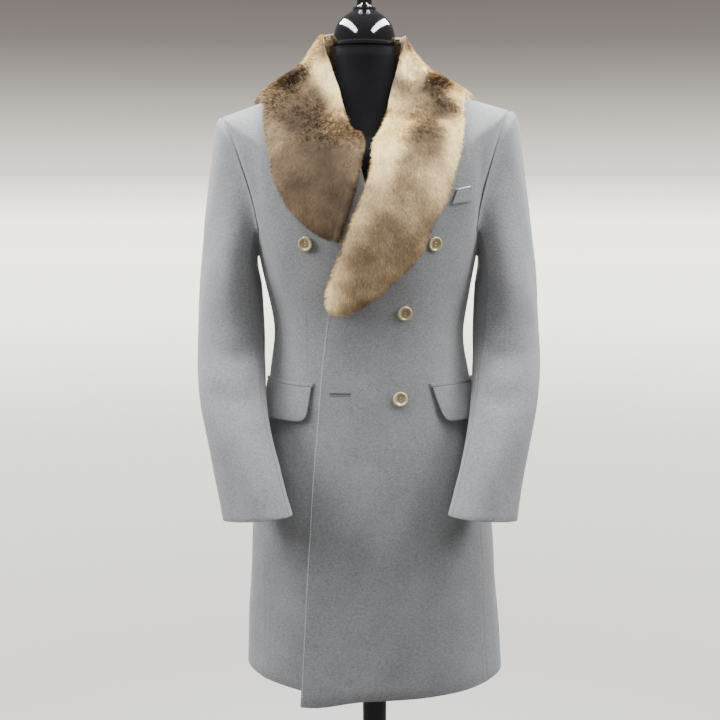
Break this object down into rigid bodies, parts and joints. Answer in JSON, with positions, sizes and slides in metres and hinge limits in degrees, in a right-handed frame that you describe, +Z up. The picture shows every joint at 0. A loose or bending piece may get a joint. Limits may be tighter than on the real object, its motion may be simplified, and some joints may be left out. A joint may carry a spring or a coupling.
{
  "type": "wool overcoat on dress form",
  "caption": "Double-breasted grey wool overcoat with a wide fur shawl collar, flap pockets and set-in sleeves, shown on a black pole-mounted dress form.",
  "frame": {"origin": "centre of the underside of the dress form's round base", "axes": "+Z up, the coat faces -Y, +X is the wearer's left"},
  "size_m": [0.5668, 0.4023, 1.6586],
  "materials": {
    "wool": "milled wool cloth, fine heathered grey",
    "fur": "dense soft pile, brown to cream",
    "horn": "polished horn-like resin",
    "form_cover": "black jersey cover",
    "form_gloss": "black high gloss",
    "stand_metal": "black satin paint"
  },
  "bodies": {
    "root": {"left_front": "wool", "right_front": "wool", "left_side": "wool", "right_side": "wool", "left_back": "wool", "right_back": "wool", "left_upper_sleeve": "wool", "left_under_sleeve": "wool", "right_upper_sleeve": "wool", "right_under_sleeve": "wool", "left_flap": "wool", "right_flap": "wool", "left_jet": "wool", "right_jet": "wool", "breast_welt": "wool", "left_collar": "fur", "right_collar": "fur", "torso": "form_cover", "neck_cap": "form_gloss", "finial": "form_gloss", "pole": "stand_metal", "base": "stand_metal", "button_1": "horn", "button_2": "horn", "button_3": "horn", "button_4": "horn"}
  },
  "joints": []
}
